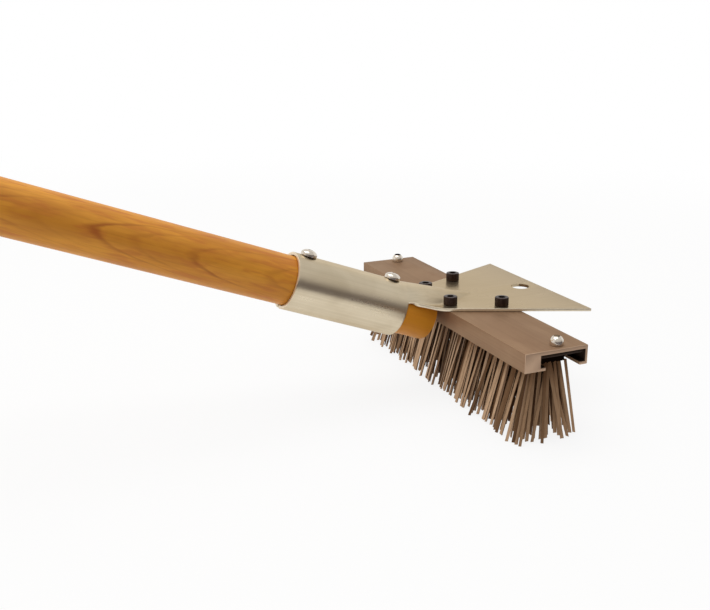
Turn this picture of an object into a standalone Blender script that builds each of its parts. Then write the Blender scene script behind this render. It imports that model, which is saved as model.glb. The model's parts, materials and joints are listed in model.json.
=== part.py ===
"""Stiff wire scrub brush: wooden handle, sheet-metal scraper bracket, bolted channel, sliding refill.

Metres, +Z up.  +X points from the handle to the scraper edge and Y runs along the brush channel.
The pieces are laid out from the middle of the channel's top face, and an empty then carries them
so that the world origin lies under the middle of the whole brush, level with the bristle tips.
"""
import math
import random

import bmesh
import bpy
from mathutils import Matrix, Vector

# Fits
FIT_GAP = 0.0003
HOLE_CLEARANCE = 0.0003

# Brush channel
CHANNEL_WIDTH = 0.0475
CHANNEL_LENGTH = 0.2540
CHANNEL_HEIGHT = 0.0132
RAIL_WIDTH = 0.0119
TOP_WALL = 0.0028
FRONT_WALL = 0.0021
LIP_REACH = 0.0038
LIP_THICKNESS = 0.0024

# Scraper bracket, one sheet
SHEET = 0.0022
SCRAPER_REACH = 0.0444
SCRAPER_EDGE = 0.1400
REAR_PLATE_WIDTH = 0.0577
SOCKET_LENGTH = 0.0879
SOCKET_SETBACK = 0.0313
SOCKET_TILT = math.radians(20.4)
SOCKET_AXIS_DROP = 0.0015
SOCKET_CLEARANCE = 0.0006
SEAM_WIDTH = 0.0030
BEND_BLEND = 0.0020
EDGE_SWEEP = 0.0265
EDGE_RISE = 0.0042
ARCH_RUN = 0.0650
ARCH_NOSE = 2.0
HANGING_HOLE_DIAMETER = 0.0140
HANGING_HOLE_TO_EDGE = 0.0150

# Handle
HANDLE_DIAMETER = 0.0350
HANDLE_LENGTH = 0.5500
STUB_GAP = 0.0020
BUTT_ROUNDING = 0.0050
STUB_CHAMFER = 0.0008

# Black socket-head cap screws
CAP_HEAD_DIAMETER = 0.0100
CAP_HEAD_HEIGHT = 0.0060
CAP_SHANK_DIAMETER = 0.0060
CAP_SOCKET_FLATS = 0.0050
CAP_SOCKET_DEPTH = 0.0030
CAP_EDGE_CHAMFER = 0.0005
REAR_SCREW_INSET = 0.0048
REAR_SCREW_MARGIN = 0.0015
REAR_TIP_SHORT = 0.0030
FRONT_SCREW_INSET = 0.0099
FRONT_SCREW_EDGE = 0.0089
FRONT_TIP_SHORT = 0.0005

# Bright round-head screws at the channel's ends
END_HEAD_DIAMETER = 0.0092
END_HEAD_HEIGHT = 0.0062
END_SHANK_DIAMETER = 0.0050
END_SOCKET_FLATS = 0.0032
END_SOCKET_DEPTH = 0.0024
END_SCREW_INSET = 0.0082

# Bright round-head screws that hold the handle in the socket
HANDLE_SCREW_HEAD_DIAMETER = 0.0120
HANDLE_SCREW_HEAD_HEIGHT = 0.0054
HANDLE_SCREW_SHANK_DIAMETER = 0.0050
HANDLE_SCREW_GRIP = 0.0200
LOWER_SCREW_INSET = 0.0092
UPPER_SCREW_INSET = 0.0102

# Refill
STRIP_THICKNESS = 0.0020
STRIP_INSET = 0.0010
BLOCK_INSET = 0.0160
BLOCK_SIDE_GAP = 0.0004
NECK_DROP = 0.0022
SLICE_COUNT = 8
STRAND_ROWS = 4
STRANDS_PER_ROW = 10
STRAND_WIDTH = 0.0016
STRAND_THICKNESS = 0.0011
STRAND_TAPER = 0.8
BRISTLE_LENGTH = 0.0540
BRISTLE_RAGGEDNESS = 0.0070
FLAT_CUT = 0.0005
REAR_LEAN = math.radians(-14.0)
FRONT_LEAN = math.radians(7.0)
END_FAN = 0.0065
END_FAN_REACH = 0.0350
TIP_JITTER = 0.00022

# Facets
ROUND_SEGMENTS = 24
DOME_STEPS = 5
DOME_RIM_SHARE = 0.25
BUTT_STEPS = 4
HANDLE_SEGMENTS = 32
ARCH_COLUMNS = 40
ARCH_ROWS = 18
SOCKET_COLUMNS = 8

# Places that several pieces share
REAR_FACE = -CHANNEL_WIDTH / 2
FRONT_FACE = CHANNEL_WIDTH / 2
SLOT_REAR = REAR_FACE + RAIL_WIDTH
SLOT_FRONT = FRONT_FACE - FRONT_WALL
MOUTH_REAR = SLOT_REAR + LIP_REACH
MOUTH_FRONT = SLOT_FRONT - LIP_REACH
SLOT_CENTRE = (SLOT_REAR + SLOT_FRONT) / 2
LIP_TOP = -CHANNEL_HEIGHT + LIP_THICKNESS
PLATE_BOTTOM = FIT_GAP
PLATE_TOP = PLATE_BOTTOM + SHEET
SCRAPER_X = FRONT_FACE + SCRAPER_REACH
HANDLE_RADIUS = HANDLE_DIAMETER / 2
SOCKET_RADIUS = HANDLE_RADIUS + SOCKET_CLEARANCE + SHEET
SOCKET_X = REAR_FACE - SOCKET_SETBACK
SOCKET_Z = PLATE_BOTTOM - SOCKET_AXIS_DROP
ARCH_TIP = SOCKET_X + ARCH_RUN
HANDLE_STUB = (SOCKET_SETBACK - STUB_GAP + SOCKET_Z * math.tan(SOCKET_TILT)) * math.cos(SOCKET_TILT)
STRIP_BOTTOM = -TOP_WALL - FIT_GAP - STRIP_THICKNESS
NECK_BOTTOM = -CHANNEL_HEIGHT - NECK_DROP
TIP_FLOOR = -CHANNEL_HEIGHT - BRISTLE_LENGTH


def handle_point(along, radius=0.0, angle=0.0):
    """Point at a distance up the handle's axis from the socket's lower end; angle 0 is the top line."""
    out = radius * math.cos(angle)
    x = SOCKET_X - along * math.cos(SOCKET_TILT) + out * math.sin(SOCKET_TILT)
    z = SOCKET_Z + along * math.sin(SOCKET_TILT) + out * math.cos(SOCKET_TILT)
    return Vector((x, radius * math.sin(angle), z))


def material(name, colour, roughness, metallic):
    finish = bpy.data.materials.new(name)
    finish.use_nodes = True
    shader = finish.node_tree.nodes["Principled BSDF"]
    shader.inputs["Base Color"].default_value = (*colour, 1.0)
    shader.inputs["Roughness"].default_value = roughness
    shader.inputs["Metallic"].default_value = metallic
    return finish


def add_object(name, bm, finish=None, smooth_angle=None):
    """Turn a bmesh into a named object of the brush."""
    bmesh.ops.recalc_face_normals(bm, faces=bm.faces)
    mesh = bpy.data.meshes.new(name)
    bm.to_mesh(mesh)
    bm.free()
    if smooth_angle is not None:
        mesh.shade_smooth()
        mesh.set_sharp_from_angle(angle=smooth_angle)
    obj = bpy.data.objects.new(name, mesh)
    bpy.context.scene.collection.objects.link(obj)
    if finish is not None:
        mesh.materials.append(finish)
    return obj


def revolve(profile, segments):
    """Body of revolution about Z from (radius, height) points, first and last on the axis."""
    bm = bmesh.new()
    points = [bm.verts.new((radius, 0.0, height)) for radius, height in profile]
    edges = [bm.edges.new(pair) for pair in zip(points, points[1:])]
    bmesh.ops.spin(
        bm, geom=points + edges, cent=(0, 0, 0), axis=(0, 0, 1),
        angle=2 * math.pi, steps=segments, use_merge=True,
    )
    bmesh.ops.remove_doubles(bm, verts=bm.verts, dist=1e-6)
    return bm


def arc(centre, radius, start, end, steps):
    """(radius, height) points on a quarter or part circle, angles in degrees from the outward direction."""
    angles = [math.radians(start + (end - start) * i / steps) for i in range(steps + 1)]
    return [(centre[0] + radius * math.cos(a), centre[1] + radius * math.sin(a)) for a in angles]


def cutter(name, bm, place=Matrix.Identity(4)):
    """A hidden tool body that only cuts."""
    obj = add_object(name, bm)
    obj.matrix_world = place
    obj.hide_render = True
    obj.display_type = "WIRE"
    return obj


def peg(diameter, bottom, top, segments=ROUND_SEGMENTS):
    return revolve([(0, top), (diameter / 2, top), (diameter / 2, bottom), (0, bottom)], segments)


def cut(obj, tool):
    modifier = obj.modifiers.new("cut " + tool.name, "BOOLEAN")
    modifier.operation = "DIFFERENCE"
    modifier.solver = "EXACT"
    modifier.object = tool


def hex_socket(name, flats, top, depth):
    """Six-sided recess, open at the top."""
    corner = flats / math.sqrt(3)
    return cutter(name, peg(2 * corner, top - depth, top + depth, segments=6))


def place_on_channel(x, y, z):
    return Matrix.Translation((x, y, z))


def place_on_handle(along, radius):
    """Frame whose Z points out of the socket's top line."""
    return Matrix.Translation(handle_point(along, radius)) @ Matrix.Rotation(SOCKET_TILT, 4, "Y")


def make_channel(finish):
    """Extruded profile: solid rail at the rear, slot with two lips over its mouth."""
    outline = [
        (REAR_FACE, 0), (FRONT_FACE, 0),
        (FRONT_FACE, -CHANNEL_HEIGHT), (MOUTH_FRONT, -CHANNEL_HEIGHT),
        (MOUTH_FRONT, LIP_TOP), (SLOT_FRONT, LIP_TOP), (SLOT_FRONT, -TOP_WALL),
        (SLOT_REAR, -TOP_WALL), (SLOT_REAR, LIP_TOP), (MOUTH_REAR, LIP_TOP),
        (MOUTH_REAR, -CHANNEL_HEIGHT), (REAR_FACE, -CHANNEL_HEIGHT),
    ]
    bm = bmesh.new()
    section = bm.faces.new([bm.verts.new((x, -CHANNEL_LENGTH / 2, z)) for x, z in outline])
    grown = bmesh.ops.extrude_face_region(bm, geom=[section])["geom"]
    moved = [item for item in grown if isinstance(item, bmesh.types.BMVert)]
    bmesh.ops.translate(bm, verts=moved, vec=(0, CHANNEL_LENGTH, 0))
    return add_object("brush_channel", bm, finish)


def arch_angle():
    """Angle from the socket's top line at which its end meets the plate's raised edge."""
    return math.acos((PLATE_TOP + EDGE_RISE - SOCKET_Z) / (SOCKET_RADIUS * math.cos(SOCKET_TILT)))


def arch_corner():
    """Corner where the socket's lower end meets the plate's edge, on the far side."""
    return handle_point(0, SOCKET_RADIUS, arch_angle())


def edge_ease(x):
    """0 at the socket's end, 1 where the plate's edge has run out straight and level."""
    share = min(max((x - arch_corner().x) / EDGE_SWEEP, 0.0), 1.0)
    return share * share * (3 - 2 * share)


def plate_level(x):
    """Top of the plate beside the arch: it dips from the socket's end to the channel."""
    return PLATE_TOP + EDGE_RISE * (1 - edge_ease(x))


def arch_half_width(x):
    """Half the arch's width at the plate: as wide as the socket at first, closing in a rounded nose."""
    corner = arch_corner()
    share = min(max((x - corner.x) / (ARCH_TIP - corner.x), 0.0), 1.0)
    return corner.y * (1 - share ** ARCH_NOSE)


def arch_crown(x):
    """Height of the arch over the plate beside it; its top line is straight from the socket to the nose."""
    top = handle_point(0, SOCKET_RADIUS)
    line = (top.z - PLATE_TOP) * max(ARCH_TIP - x, 0.0) / (ARCH_TIP - top.x)
    return PLATE_TOP + line - plate_level(x)


def plate_half_width(x):
    """Half the plate's width: a straight flare that sweeps in to meet the socket's end."""
    flare = (SCRAPER_EDGE - REAR_PLATE_WIDTH) / 2 / (SCRAPER_X - REAR_FACE)
    straight = REAR_PLATE_WIDTH / 2 + flare * (x - REAR_FACE)
    corner = arch_corner()
    return corner.y + (straight - corner.y) * edge_ease(x)


def sheet_height(x, y):
    """Top of the bracket's sheet: an arch with the socket's round section and a soft foot on the plate."""
    crown = arch_crown(x)
    width = arch_half_width(x)
    level = plate_level(x)
    if crown <= 0 or width <= 0:
        return level
    foot = math.cos(arch_angle())
    across = min(abs(y) / width * math.sin(arch_angle()), 1.0)
    rise = crown * (math.sqrt(1 - across * across) - foot) / (1 - foot)
    depth = crown * foot / (1 - foot)
    sweep = min(max((x - arch_corner().x) / EDGE_SWEEP, 0.0), 1.0)
    blend = min(BEND_BLEND * sweep, depth)
    if rise <= -blend:
        return level
    if rise >= blend:
        return level + rise
    return level + (rise + blend) ** 2 / (4 * blend)


def make_bracket(finish):
    """One sheet: a rolled socket with an open seam below, flattened into the scraper plate."""
    bm = bmesh.new()
    top = arch_angle()
    seam = math.pi - SEAM_WIDTH / 2 / SOCKET_RADIUS
    arch = [top * (2 * i / ARCH_COLUMNS - 1) for i in range(ARCH_COLUMNS + 1)]
    side = [top + (seam - top) * (i + 1) / SOCKET_COLUMNS for i in range(SOCKET_COLUMNS)]
    round_angles = [-a for a in reversed(side)] + arch + side
    low = [bm.verts.new(handle_point(0, SOCKET_RADIUS, a)) for a in round_angles]
    high = [bm.verts.new(handle_point(SOCKET_LENGTH, SOCKET_RADIUS, a)) for a in round_angles]
    for i in range(len(round_angles) - 1):
        bm.faces.new((low[i], low[i + 1], high[i + 1], high[i]))

    row = low[SOCKET_COLUMNS:SOCKET_COLUMNS + len(arch)]
    starts = [v.co.copy() for v in row]
    shares = [s.y / starts[-1].y for s in starts]
    stations = [(i + 1) / ARCH_ROWS for i in range(ARCH_ROWS)]
    for step in stations + ["edge"]:
        new_row = []
        for start, share in zip(starts, shares):
            x = SCRAPER_X if step == "edge" else start.x + (ARCH_TIP - start.x) * step
            y = share * plate_half_width(x)
            z = PLATE_TOP if step == "edge" else sheet_height(x, y)
            new_row.append(bm.verts.new((x, y, z)))
        for i in range(len(arch) - 1):
            bm.faces.new((new_row[i], new_row[i + 1], row[i + 1], row[i]))
        row = new_row

    bracket = add_object("scraper_bracket", bm, finish, smooth_angle=math.radians(35))
    wall = bracket.modifiers.new("sheet", "SOLIDIFY")
    wall.thickness = SHEET
    wall.offset = -1.0
    wall.use_even_offset = True
    return bracket


def make_handle(finish):
    """Turned handle: square stub end in the socket, rounded butt with a flat middle."""
    length = HANDLE_LENGTH
    butt = arc((HANDLE_RADIUS - BUTT_ROUNDING, length - BUTT_ROUNDING), BUTT_ROUNDING, 90, 0, BUTT_STEPS)
    stub = [(HANDLE_RADIUS, STUB_CHAMFER), (HANDLE_RADIUS - STUB_CHAMFER, 0)]
    profile = [(0, length)] + butt + stub + [(0, 0)]
    handle = add_object("handle", revolve(profile, HANDLE_SEGMENTS), finish, smooth_angle=math.radians(30))
    handle.location = handle_point(-HANDLE_STUB)
    handle.rotation_euler = (0, SOCKET_TILT - math.pi / 2, 0)
    return handle


def make_cap_screw(name, grip, finish, socket):
    """Cylinder-head screw, its head's underside at height 0."""
    head = CAP_HEAD_DIAMETER / 2
    shank = CAP_SHANK_DIAMETER / 2
    profile = [
        (0, CAP_HEAD_HEIGHT), (head - CAP_EDGE_CHAMFER, CAP_HEAD_HEIGHT),
        (head, CAP_HEAD_HEIGHT - CAP_EDGE_CHAMFER), (head, 0), (shank, 0), (shank, -grip), (0, -grip),
    ]
    screw = add_object(name, revolve(profile, ROUND_SEGMENTS), finish, smooth_angle=math.radians(40))
    cut(screw, socket)
    return screw


def make_dome_screw(name, diameter, height, shank, grip, finish):
    """Round-head screw: a short straight rim, then a dome, its underside at height 0."""
    rim = height * DOME_RIM_SHARE
    angles = [math.pi / 2 * i / DOME_STEPS for i in range(DOME_STEPS, -1, -1)]
    dome = [(diameter / 2 * math.cos(a), rim + (height - rim) * math.sin(a)) for a in angles]
    dome[0] = (0, height)
    profile = dome + [(diameter / 2, 0), (shank / 2, 0), (shank / 2, -grip), (0, -grip)]
    return add_object(name, revolve(profile, ROUND_SEGMENTS), finish, smooth_angle=math.radians(40))


def make_strip(finish):
    bm = bmesh.new()
    bmesh.ops.create_cube(bm, size=1.0)
    width = SLOT_FRONT - SLOT_REAR - 2 * FIT_GAP
    length = CHANNEL_LENGTH - 2 * STRIP_INSET
    bmesh.ops.scale(bm, verts=bm.verts, vec=(width, length, STRIP_THICKNESS))
    middle = (SLOT_CENTRE, 0, STRIP_BOTTOM + STRIP_THICKNESS / 2)
    bmesh.ops.translate(bm, verts=bm.verts, vec=middle)
    return add_object("refill_strip", bm, finish)


def strand_cells(low, high, count, width):
    """Lines that mark off evenly spaced strand feet: margin, foot, gap, foot, ..., margin."""
    pitch = (high - low) / count
    lines = [low]
    for i in range(count):
        middle = low + (i + 0.5) * pitch
        lines += [middle - width / 2, middle + width / 2]
    return lines + [high]


def end_fan(y):
    """How far a strand's tip splays outwards along the channel, most at the block's two ends."""
    to_end = CHANNEL_LENGTH / 2 - BLOCK_INSET - abs(y)
    share = max(1 - to_end / END_FAN_REACH, 0.0)
    return math.copysign(END_FAN * share * share, y)


def make_bristle_slice(number, finish):
    """One slice of the T-shaped block with its wires grown out of the neck's underside."""
    run = CHANNEL_LENGTH - 2 * BLOCK_INSET
    pitch = run / SLICE_COUNT
    y_low = -run / 2 + (number - 1) * pitch + FIT_GAP / 2
    y_high = y_low + pitch - FIT_GAP
    neck_low = MOUTH_REAR + BLOCK_SIDE_GAP
    neck_high = MOUTH_FRONT - BLOCK_SIDE_GAP
    flange = (SLOT_REAR + FIT_GAP, SLOT_FRONT - FIT_GAP)
    flange_top = STRIP_BOTTOM - FIT_GAP
    flange_bottom = LIP_TOP + FIT_GAP
    xs = strand_cells(neck_low, neck_high, STRAND_ROWS, STRAND_THICKNESS)
    ys = strand_cells(y_low, y_high, STRANDS_PER_ROW, STRAND_WIDTH)

    bm = bmesh.new()
    foot = [[bm.verts.new((x, y, NECK_BOTTOM)) for y in ys] for x in xs]
    feet = []
    for i in range(len(xs) - 1):
        for j in range(len(ys) - 1):
            cell = bm.faces.new((foot[i][j], foot[i][j + 1], foot[i + 1][j + 1], foot[i + 1][j]))
            if i % 2 and j % 2:
                feet.append(cell)
    shoulder = {}
    for end, y in (("low", y_low), ("high", y_high)):
        corners = [
            (neck_high, flange_bottom), (flange[1], flange_bottom), (flange[1], flange_top),
            (flange[0], flange_top), (flange[0], flange_bottom), (neck_low, flange_bottom),
        ]
        shoulder[end] = [bm.verts.new((x, y, z)) for x, z in corners]
    bm.faces.new([column[0] for column in foot] + shoulder["low"])
    bm.faces.new([column[-1] for column in foot] + shoulder["high"])
    near, far = shoulder["low"], shoulder["high"]
    for i in range(len(near) - 1):
        bm.faces.new((near[i], near[i + 1], far[i + 1], far[i]))
    bm.faces.new(foot[0] + [far[-1], near[-1]])
    bm.faces.new(foot[-1] + [far[0], near[0]])

    rng = random.Random(number)
    half_neck = (neck_high - neck_low) / 2
    for face in bmesh.ops.extrude_discrete_faces(bm, faces=feet)["faces"]:
        middle = face.calc_center_median()
        share = (middle.x - SLOT_CENTRE) / half_neck
        lean = REAR_LEAN + (FRONT_LEAN - REAR_LEAN) * (share + 1) / 2
        short = max(rng.uniform(-FLAT_CUT, BRISTLE_RAGGEDNESS), 0.0)
        drop = NECK_BOTTOM - TIP_FLOOR - short
        splay = end_fan(middle.y) + rng.uniform(-TIP_JITTER, TIP_JITTER)
        slant = Vector((drop * math.tan(lean), splay, -drop))
        for vert in face.verts:
            vert.co = middle + (vert.co - middle) * STRAND_TAPER + slant
    return add_object("bristle_block_%d" % number, bm, finish)


def butt_reach():
    """Rearmost X of the handle's rounded butt."""
    along = HANDLE_LENGTH - HANDLE_STUB
    centre = handle_point(along - BUTT_ROUNDING, -(HANDLE_RADIUS - BUTT_ROUNDING))
    return centre.x - BUTT_ROUNDING


def main():
    for obj in list(bpy.data.objects):
        bpy.data.objects.remove(obj, do_unlink=True)

    wood = material("handle wood", (0.62, 0.36, 0.13), 0.45, 0.0)
    sheet_metal = material("bracket sheet", (0.62, 0.58, 0.49), 0.38, 1.0)
    aluminium = material("channel aluminium", (0.36, 0.29, 0.23), 0.48, 1.0)
    black = material("black oxide", (0.015, 0.014, 0.013), 0.40, 0.6)
    bright = material("bright steel", (0.72, 0.70, 0.67), 0.22, 1.0)
    strip_steel = material("strip steel", (0.48, 0.42, 0.35), 0.45, 1.0)
    wire_steel = material("wire steel", (0.30, 0.25, 0.20), 0.50, 1.0)

    channel = make_channel(aluminium)
    bracket = make_bracket(sheet_metal)
    handle = make_handle(wood)
    pieces = [channel, bracket, handle, make_strip(strip_steel)]
    tools = []

    cap_socket = hex_socket("cap socket", CAP_SOCKET_FLATS, CAP_HEAD_HEIGHT, CAP_SOCKET_DEPTH)
    end_socket = hex_socket("end socket", END_SOCKET_FLATS, END_HEAD_HEIGHT, END_SOCKET_DEPTH)

    rear_x = REAR_FACE + REAR_SCREW_INSET
    rear_y = arch_half_width(rear_x) + CAP_HEAD_DIAMETER / 2 + REAR_SCREW_MARGIN
    front_x = FRONT_FACE - FRONT_SCREW_INSET
    front_y = plate_half_width(front_x) - FRONT_SCREW_EDGE
    rear_grip = CHANNEL_HEIGHT - REAR_TIP_SHORT
    front_grip = TOP_WALL - FRONT_TIP_SHORT
    cap_places = {
        "cap_screw_rear_near": (rear_x, -rear_y, rear_grip, CHANNEL_HEIGHT + SHEET),
        "cap_screw_rear_far": (rear_x, rear_y, rear_grip, CHANNEL_HEIGHT + SHEET),
        "cap_screw_front_near": (front_x, -front_y, front_grip, 2 * TOP_WALL),
        "cap_screw_front_far": (front_x, front_y, front_grip, 2 * TOP_WALL),
    }
    for name, (x, y, grip, depth) in cap_places.items():
        seat = PLATE_TOP + FIT_GAP
        screw = make_cap_screw(name, seat + grip, black, cap_socket)
        screw.matrix_world = place_on_channel(x, y, seat)
        hole = cutter(name + " hole", peg(CAP_SHANK_DIAMETER + 2 * HOLE_CLEARANCE, -depth, 2 * SHEET),
                      place_on_channel(x, y, 0))
        cut(channel, hole)
        cut(bracket, hole)
        pieces.append(screw)
        tools.append(hole)

    for name, side in (("end_screw_near", -1), ("end_screw_far", 1)):
        y = side * (CHANNEL_LENGTH / 2 - END_SCREW_INSET)
        grip = FIT_GAP + TOP_WALL
        screw = make_dome_screw(name, END_HEAD_DIAMETER, END_HEAD_HEIGHT, END_SHANK_DIAMETER, grip, bright)
        cut(screw, end_socket)
        screw.matrix_world = place_on_channel(SLOT_CENTRE, y, FIT_GAP)
        hole = cutter(name + " hole", peg(END_SHANK_DIAMETER + 2 * HOLE_CLEARANCE, -2 * TOP_WALL, TOP_WALL),
                      place_on_channel(SLOT_CENTRE, y, 0))
        cut(channel, hole)
        pieces.append(screw)
        tools.append(hole)

    for name, along in (("handle_screw_lower", LOWER_SCREW_INSET),
                        ("handle_screw_upper", SOCKET_LENGTH - UPPER_SCREW_INSET)):
        seat = SOCKET_RADIUS + FIT_GAP
        screw = make_dome_screw(
            name, HANDLE_SCREW_HEAD_DIAMETER, HANDLE_SCREW_HEAD_HEIGHT, HANDLE_SCREW_SHANK_DIAMETER,
            HANDLE_SCREW_GRIP, bright)
        screw.matrix_world = place_on_handle(along, seat)
        hole = cutter(
            name + " hole",
            peg(HANDLE_SCREW_SHANK_DIAMETER + 2 * HOLE_CLEARANCE, -HANDLE_SCREW_GRIP - FIT_GAP, SHEET),
            place_on_handle(along, seat))
        cut(bracket, hole)
        cut(handle, hole)
        pieces.append(screw)
        tools.append(hole)

    hanging = cutter("hanging hole", peg(HANGING_HOLE_DIAMETER, -SHEET, 2 * SHEET),
                     place_on_channel(SCRAPER_X - HANGING_HOLE_TO_EDGE, 0, PLATE_BOTTOM))
    cut(bracket, hanging)
    tools += [hanging, cap_socket, end_socket]

    pieces += [make_bristle_slice(number, wire_steel) for number in range(1, SLICE_COUNT + 1)]

    brush = bpy.data.objects.new("brush", None)
    bpy.context.scene.collection.objects.link(brush)
    brush.location = (-(SCRAPER_X + butt_reach()) / 2, 0, -TIP_FLOOR)
    for obj in pieces + tools:
        obj.parent = brush


main()
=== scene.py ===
"""Looks of a stiff wire scrub brush: wooden handle, scraper bracket, brush channel, screws and refill."""
import json
import math
import random

import bpy
from mathutils import Matrix, Vector


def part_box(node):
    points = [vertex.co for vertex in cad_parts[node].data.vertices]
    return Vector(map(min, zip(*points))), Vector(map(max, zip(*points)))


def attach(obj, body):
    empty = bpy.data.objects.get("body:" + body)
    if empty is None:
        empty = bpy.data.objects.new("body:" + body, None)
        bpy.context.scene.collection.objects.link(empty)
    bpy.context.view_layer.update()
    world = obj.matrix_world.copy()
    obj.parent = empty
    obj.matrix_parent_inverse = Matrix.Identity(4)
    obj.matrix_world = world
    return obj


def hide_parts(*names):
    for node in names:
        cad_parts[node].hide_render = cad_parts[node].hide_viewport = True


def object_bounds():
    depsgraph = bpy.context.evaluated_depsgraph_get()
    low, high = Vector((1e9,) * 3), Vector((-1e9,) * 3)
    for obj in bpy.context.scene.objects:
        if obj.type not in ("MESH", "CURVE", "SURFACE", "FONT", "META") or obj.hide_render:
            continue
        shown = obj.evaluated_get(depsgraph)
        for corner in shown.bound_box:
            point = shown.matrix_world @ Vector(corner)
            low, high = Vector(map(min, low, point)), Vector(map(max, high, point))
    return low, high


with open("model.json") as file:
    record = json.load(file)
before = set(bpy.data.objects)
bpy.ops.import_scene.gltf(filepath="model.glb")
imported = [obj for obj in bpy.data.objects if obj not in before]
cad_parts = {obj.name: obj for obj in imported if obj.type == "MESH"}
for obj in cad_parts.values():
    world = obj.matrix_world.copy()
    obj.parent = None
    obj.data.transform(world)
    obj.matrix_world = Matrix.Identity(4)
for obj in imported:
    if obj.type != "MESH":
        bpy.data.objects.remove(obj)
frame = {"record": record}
CAD_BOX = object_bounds()
RECORD = frame["record"]

# The view, taken from the photograph
IMAGE_WIDTH = 710
FOCAL_PIXELS = 948.4
SENSOR_WIDTH = 36.0
VIEW_YAW = math.radians(23.02)
VIEW_PITCH = math.radians(17.12)
VIEW_ROLL = math.radians(-0.39)
HEAD_RIGHT_OF_VIEW = 0.0791
HEAD_ABOVE_VIEW = 0.0057
HEAD_DISTANCE = 0.7157

# Fits and cuts, in metres like all sizes here
FIT_GAP = 0.0003
HOLE_CLEARANCE = 0.0003
HOLE_SIDES = 40
OVERCUT = 0.0020

# The bracket
SHEET = 0.0022
SCRAPER_EDGE = 0.1400
REAR_PLATE_WIDTH = 0.0577
SOCKET_LENGTH = 0.0879
SOCKET_SETBACK = 0.0313
SOCKET_AXIS_DROP = 0.0015
SOCKET_RADIUS = 0.0203
SEAM_WIDTH = 0.0030
BEND_BLEND = 0.0030
EDGE_SWEEP = 0.0265
EDGE_RISE = 0.0042
ARCH_RUN = 0.0650
ARCH_NOSE = 2.0
ARCH_COLUMNS = 80
SOCKET_SIDE_COLUMNS = 26
HANGING_HOLE_DIAMETER = 0.0140
HANGING_HOLE_TO_EDGE = 0.0150
HANGING_HOLE_SIDES = 64
SHEET_EDGE_ROUNDING = 0.0006
SHEARED_SIDE_DEPTH = 0.0005
SHEARED_FRONT_DEPTH = 0.0004

# The handle
HANDLE_RADIUS = 0.0175
HANDLE_LENGTH = 0.5500
HANDLE_SIDES = 96
BUTT_ROUNDING = 0.0050
STUB_ROUNDING = 0.0007
STUB_REACH = 0.0300

# The channel
RAIL_WIDTH = 0.0119
TOP_WALL = 0.0028
FRONT_WALL = 0.0021
LIP_REACH = 0.0038
LIP_THICKNESS = 0.0024
CHANNEL_ROUNDING = 0.0004

# The screws
CAP_HEAD_RADIUS = 0.0050
CAP_HEAD_HEIGHT = 0.0060
CAP_SHANK_RADIUS = 0.0030
CAP_RIM_ROUNDING = 0.0005
CAP_SOCKET_FLATS = 0.0050
CAP_SOCKET_DEPTH = 0.0030
KNURL_SIDES = 72
KNURL_GROOVE = 0.972
END_HEAD_RADIUS = 0.0046
END_HEAD_HEIGHT = 0.0062
END_SHANK_RADIUS = 0.0025
END_SOCKET_FLATS = 0.0040
END_SOCKET_DEPTH = 0.0026
# Painted shade: the reach of the recess finish on the end screws.
RECESS_SHADE_RADIUS = 0.0027
HANDLE_SCREW_RADIUS = 0.0058
HANDLE_SCREW_HEIGHT = 0.0044
HANDLE_SCREW_GRIP = 0.0200
HANDLE_SHANK_RADIUS = 0.0025
CROSS_REACH = 0.0021
CROSS_WIDTH = 0.0008
CROSS_DEPTH = 0.0012
CROSS_TURN = math.radians(30)
DOME_RIM_SHARE = 0.25
LOWER_SCREW_INSET = 0.0092
UPPER_SCREW_INSET = 0.0102

# Strip, block and wires of the refill
STRIP_ROUNDING = 0.0003
BLOCK_INSET = 0.0160
BLOCK_ROUNDING = 0.0004
NECK_DROP = 0.0022
NECK_GAP = 0.0004
NECK_COVER = 0.0010
WIRE_WIDTH = 0.0022
# Painted shade on each wire's narrow sides.
WIRE_THICKNESS = 0.0007
WIRE_EDGE_SHADE = 0.28
WIRE_SEAT = 0.0008
WIRE_PITCH = 0.0021
WIRE_SCATTER = 0.0015
WIRE_SEED = 7
WIDTH_SHARES = (0.85, 1.1)
CHISEL_SLOPE = 0.8
# Painted shade at the wires' roots, under the channel, and how fast it fades.
ROOT_SHADE = 0.30
ROOT_SHADE_FADE = 2.5
TUFT_STATIONS = 26
TUFT_ROWS = 6
TUFT_STAGGER = 0.22
WIRES_PER_TUFT = 3
# Lit wires and shaded copies of them; the shaded tones and the inner rows' shares are painted shade.
MIDDLE_LIT_CHANCE = 0.90
SIDE_LIT_CHANCE = 0.42
LIT_TONES = (0.72, 1.0)
SHADED_TONES = (0.20, 0.48)
ROW_SHADES = (1.0, 0.66, 0.36)
END_TUFT_SHADE = 0.85
REAR_LEAN = math.radians(-15.5)
FRONT_LEAN = math.radians(7.0)
LEAN_DEGREES = 1.5
FAN_DEGREES = 1.2
SWAY_DEGREES = 1.3
STRAY_DEGREES = 6
STRAY_CHANCE = 0.05
TURN_DEGREES = 2
END_TUFT_TURN_DEGREES = 50
TURN_SPREAD_DEGREES = 16
RAGGEDNESS = 0.0038
END_FAN = 0.0090
END_FAN_REACH = 0.0350
END_WIRES = (
    (0.0045, -0.0095, -0.1180),
    (0.0050, 0.0020, -0.1165),
    (0.0052, 0.0125, -0.1205),
    (0.0060, 0.0170, -0.1200),
    (0.0184, 0.0252, -0.1160),
)
END_WIRE_INSET = 0.0006
END_WIRE_TONES = (0.54, 0.74)
END_WIRE_TURN_DEGREES = 65
END_WIRE_SPREAD_DEGREES = 8

# Pieces of the frame
CAP_SCREWS = ("cap_screw_rear_near", "cap_screw_rear_far", "cap_screw_front_near", "cap_screw_front_far")
END_SCREWS = ("end_screw_near", "end_screw_far")
HANDLE_SCREWS = ("handle_screw_lower", "handle_screw_upper")
HANDLE_SCREW_PLACES = (LOWER_SCREW_INSET, SOCKET_LENGTH - UPPER_SCREW_INSET)
BLOCKS = tuple("bristle_block_%d" % number for number in range(1, 9))

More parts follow.
